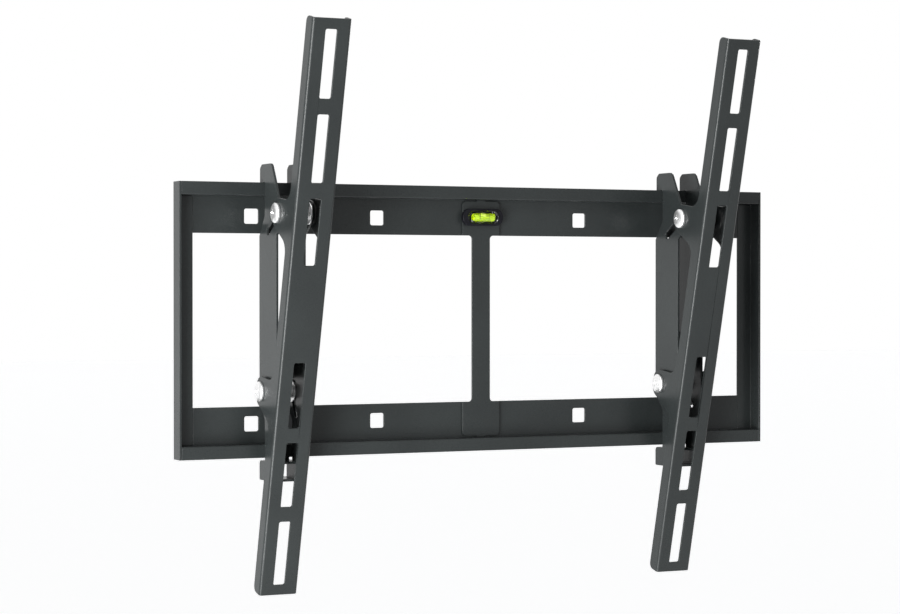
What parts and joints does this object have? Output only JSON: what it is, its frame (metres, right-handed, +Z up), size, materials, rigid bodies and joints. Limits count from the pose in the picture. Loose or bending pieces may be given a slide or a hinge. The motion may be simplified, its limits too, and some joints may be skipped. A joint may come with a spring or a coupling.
{
  "type": "tilting tv wall bracket",
  "caption": "Tilting screen bracket: a welded frame on the wall carries sliding hook brackets with slotted arms that tilt forward on curved slots.",
  "frame": {"origin": "middle of the wall plate, in the plane of the wall", "axes": "+X along the wall to the viewer's right, +Y into the wall, +Z up"},
  "size_m": [0.533, 0.1258, 0.448],
  "materials": {
    "powder_coat": "fine satin powder coat",
    "zinc_steel": "bright zinc",
    "black_plastic": "matte",
    "clear_plastic": "clear",
    "level_liquid": "clear yellow-green liquid"
  },
  "bodies": {
    "wall_plate": {"top_rail": "powder_coat", "bottom_rail": "powder_coat", "left_end_piece": "powder_coat", "right_end_piece": "powder_coat", "centre_strut": "powder_coat", "level_holder": "black_plastic", "level_vial": "clear_plastic", "level_liquid": "level_liquid"},
    "left_bracket": {"left_hook_bracket": "powder_coat", "left_lock_screw": "zinc_steel"},
    "left_arm": {"left_tv_arm": "powder_coat", "left_upper_tilt_screws": "zinc_steel", "left_lower_tilt_screws": "zinc_steel", "left_tilt_spacers": "black_plastic", "left_tilt_washers": "zinc_steel", "left_tilt_nuts": "zinc_steel"},
    "left_lock": {"left_lock_plate": "powder_coat"},
    "right_bracket": {"right_hook_bracket": "powder_coat", "right_lock_screw": "zinc_steel"},
    "right_arm": {"right_tv_arm": "powder_coat", "right_upper_tilt_screws": "zinc_steel", "right_lower_tilt_screws": "zinc_steel", "right_tilt_spacers": "black_plastic", "right_tilt_washers": "zinc_steel", "right_tilt_nuts": "zinc_steel"},
    "right_lock": {"right_lock_plate": "powder_coat"}
  },
  "joints": [
    {"name": "left_bracket_slide", "type": "slide", "parent": "wall_plate", "child": "left_bracket", "axis": [1, 0, 0], "range_m": [-0.058, 0.143]},
    {"name": "left_arm_tilt", "type": "hinge", "parent": "left_bracket", "child": "left_arm", "pos_m": [-0.1835, -0.0887, -0.0318], "axis": [1, 0, 0], "range_deg": [-14.3, 0]},
    {"name": "left_lock_slide", "type": "slide", "parent": "left_bracket", "child": "left_lock", "axis": [0, 0, 1], "range_m": [-0.0085, 0]},
    {"name": "right_bracket_slide", "type": "slide", "parent": "wall_plate", "child": "right_bracket", "axis": [1, 0, 0], "range_m": [-0.141, 0.062]},
    {"name": "right_arm_tilt", "type": "hinge", "parent": "right_bracket", "child": "right_arm", "pos_m": [0.1795, -0.0887, -0.0318], "axis": [1, 0, 0], "range_deg": [-14.3, 0]},
    {"name": "right_lock_slide", "type": "slide", "parent": "right_bracket", "child": "right_lock", "axis": [0, 0, 1], "range_m": [-0.0085, 0]}
  ]
}
